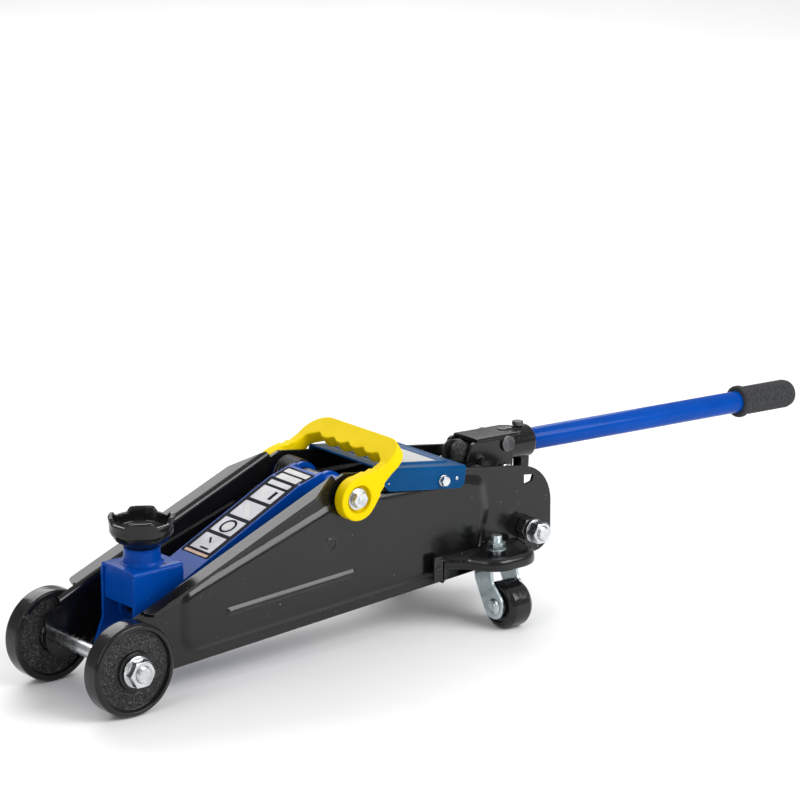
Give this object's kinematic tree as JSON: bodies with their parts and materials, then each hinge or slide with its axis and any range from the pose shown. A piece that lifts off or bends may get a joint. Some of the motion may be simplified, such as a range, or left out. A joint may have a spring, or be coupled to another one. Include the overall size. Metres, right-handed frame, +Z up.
{
  "type": "trolley jack",
  "caption": "Low wheeled hydraulic trolley jack: black plate chassis, blue parallelogram lift arm, screw-out lobed saddle, pumping handle, swivel casters and a yellow carry handle.",
  "frame": {"origin": "on the floor, under the middle of the whole jack with its handle down", "axes": "+X from the front wheels towards the pumping handle, +Y to the operator's right when facing the jack from the handle, +Z up"},
  "size_m": [0.8544, 0.213, 0.1795],
  "materials": {
    "black_paint": "glossy black paint on pressed steel",
    "blue_paint": "glossy blue paint",
    "cover_paint": "glossy deep blue paint",
    "black_iron": "black painted casting",
    "zinc_plate": "bright zinc plating",
    "dark_steel": "oiled plain steel",
    "yellow_plastic": "moulded yellow plastic",
    "foam_grip": "closed-cell foam sleeve"
  },
  "bodies": {
    "chassis": {"side_plate_left": "black_paint", "side_plate_right": "black_paint", "front_axle": "zinc_plate", "front_axle_nut_left": "zinc_plate", "front_axle_nut_right": "zinc_plate", "rear_tie_rod": "zinc_plate", "rear_tie_locknut_left": "dark_steel", "rear_tie_locknut_right": "dark_steel", "rear_tie_nut_left": "zinc_plate", "rear_tie_nut_right": "zinc_plate", "main_shaft": "dark_steel", "carry_handle_bolt_left": "zinc_plate", "carry_handle_bolt_right": "zinc_plate", "link_rivet_left": "black_paint", "link_rivet_right": "black_paint", "top_cover": "cover_paint", "cover_screw_left": "zinc_plate", "cover_screw_right": "zinc_plate", "pump_body": "black_iron", "ram_cylinder": "black_iron", "return_spring_left": "dark_steel", "return_spring_right": "dark_steel", "caster_bracket_left": "black_paint", "caster_bracket_right": "black_paint", "socket_hinge_bolt_left": "zinc_plate", "socket_hinge_bolt_right": "zinc_plate"},
    "front_wheel_left_body": {"front_wheel_left": "black_iron"},
    "front_wheel_right_body": {"front_wheel_right": "black_iron"},
    "caster_left": {"caster_kingpin_left": "zinc_plate", "caster_fork_left": "zinc_plate", "caster_axle_left": "zinc_plate"},
    "caster_right": {"caster_kingpin_right": "zinc_plate", "caster_fork_right": "zinc_plate", "caster_axle_right": "zinc_plate"},
    "caster_wheel_left_body": {"caster_wheel_left": "black_iron"},
    "caster_wheel_right_body": {"caster_wheel_right": "black_iron"},
    "arm": {"lift_arm": "blue_paint", "ram_cross_pin": "dark_steel", "arm_pin_left": "blue_paint", "arm_pin_right": "blue_paint"},
    "saddle_carrier": {"saddle_bracket": "blue_paint", "link_cross_rod": "blue_paint", "link_bolt_left": "zinc_plate", "link_bolt_right": "zinc_plate"},
    "link_left_body": {"link_left": "black_paint"},
    "link_right_body": {"link_right": "black_paint"},
    "ram_body": {"ram": "dark_steel"},
    "plunger_body": {"pump_plunger": "zinc_plate"},
    "valve_body": {"release_valve": "zinc_plate"},
    "screw_body": {"lift_screw": "dark_steel"},
    "saddle_body": {"saddle": "black_iron"},
    "roller_body": {"pump_roller": "dark_steel"},
    "socket": {"handle_socket": "black_iron", "pump_roller_pin": "zinc_plate", "socket_cross_pin": "dark_steel", "socket_set_screw": "dark_steel"},
    "handle": {"handle_tube": "blue_paint", "handle_grip": "foam_grip", "release_knuckle": "black_iron"},
    "carry_handle_body": {"carry_handle": "yellow_plastic"}
  },
  "joints": [
    {"name": "lift", "type": "hinge", "parent": "chassis", "child": "arm", "pos_m": [-0.14817, 0, 0.1385], "axis": [0, 1, 0], "range_deg": [0, 92]},
    {"name": "saddle_levelling", "type": "hinge", "parent": "arm", "child": "saddle_carrier", "pos_m": [-0.33149, 0, 0.06369], "axis": [0, 1, 0], "range_deg": [-92, 0]},
    {"name": "link_left_swing", "type": "hinge", "parent": "chassis", "child": "link_left_body", "pos_m": [-0.17027, -0.0325, 0.1013], "axis": [0, 1, 0], "range_deg": [0, 92]},
    {"name": "link_right_swing", "type": "hinge", "parent": "chassis", "child": "link_right_body", "pos_m": [-0.17027, 0.0325, 0.1013], "axis": [0, 1, 0], "range_deg": [0, 92]},
    {"name": "ram_stroke", "type": "slide", "parent": "chassis", "child": "ram_body", "axis": [-1, 0, 0], "range_m": [0, 0.0605], "deforming": ["return_spring_left", "return_spring_right"]},
    {"name": "screw_extension", "type": "slide", "parent": "saddle_carrier", "child": "screw_body", "axis": [0, 0, 1], "range_m": [0, 0.06]},
    {"name": "saddle_swivel", "type": "hinge", "parent": "screw_body", "child": "saddle_body", "pos_m": [-0.33149, 0, 0.12569], "axis": [0, 0, 1], "continuous": true},
    {"name": "pumping", "type": "hinge", "parent": "chassis", "child": "socket", "pos_m": [0.01683, 0, 0.12], "axis": [0, -1, 0], "range_deg": [0, 48]},
    {"name": "plunger_stroke", "type": "slide", "parent": "chassis", "child": "plunger_body", "axis": [0, 0, 1], "range_m": [0, 0.0253]},
    {"name": "handle_twist", "type": "hinge", "parent": "socket", "child": "handle", "pos_m": [0.01758, 0, 0.13658], "axis": [0.999, 0, -0.0448], "range_deg": [0, 90]},
    {"name": "valve_turn", "type": "hinge", "parent": "chassis", "child": "valve_body", "pos_m": [-0.00317, 0, 0.095], "axis": [0, 0, 1], "range_deg": [0, 90]},
    {"name": "carry_handle_swing", "type": "hinge", "parent": "chassis", "child": "carry_handle_body", "pos_m": [-0.14817, 0, 0.1385], "axis": [0, -1, 0], "range_deg": [0, 38]},
    {"name": "roller_spin", "type": "hinge", "parent": "socket", "child": "roller_body", "pos_m": [0.05174, 0, 0.11703], "axis": [0, 1, 0], "continuous": true},
    {"name": "front_wheel_left_spin", "type": "hinge", "parent": "chassis", "child": "front_wheel_left_body", "pos_m": [-0.38717, -0.0576, 0.04], "axis": [0, 1, 0], "continuous": true},
    {"name": "caster_left_swivel", "type": "hinge", "parent": "chassis", "child": "caster_left", "pos_m": [-0.00117, -0.0695, 0.055], "axis": [0, 0, 1], "continuous": true},
    {"name": "caster_wheel_left_spin", "type": "hinge", "parent": "caster_left", "child": "caster_wheel_left_body", "pos_m": [-0.00117, -0.0855, 0.021], "axis": [1, 0, 0], "continuous": true},
    {"name": "front_wheel_right_spin", "type": "hinge", "parent": "chassis", "child": "front_wheel_right_body", "pos_m": [-0.38717, 0.0576, 0.04], "axis": [0, 1, 0], "continuous": true},
    {"name": "caster_right_swivel", "type": "hinge", "parent": "chassis", "child": "caster_right", "pos_m": [-0.00117, 0.0695, 0.055], "axis": [0, 0, 1], "continuous": true},
    {"name": "caster_wheel_right_spin", "type": "hinge", "parent": "caster_right", "child": "caster_wheel_right_body", "pos_m": [-0.00117, 0.0855, 0.021], "axis": [1, 0, 0], "continuous": true}
  ],
  "couplings": [
    {"joint": "saddle_levelling", "follows": "lift", "ratio": -1},
    {"joint": "link_left_swing", "follows": "lift", "ratio": 1},
    {"joint": "link_right_swing", "follows": "lift", "ratio": 1},
    {"joint": "ram_stroke", "follows": "lift", "m_per_rad": 0.03764},
    {"joint": "plunger_stroke", "follows": "pumping", "m_per_rad": 0.03},
    {"joint": "valve_turn", "follows": "handle_twist", "ratio": 1}
  ]
}
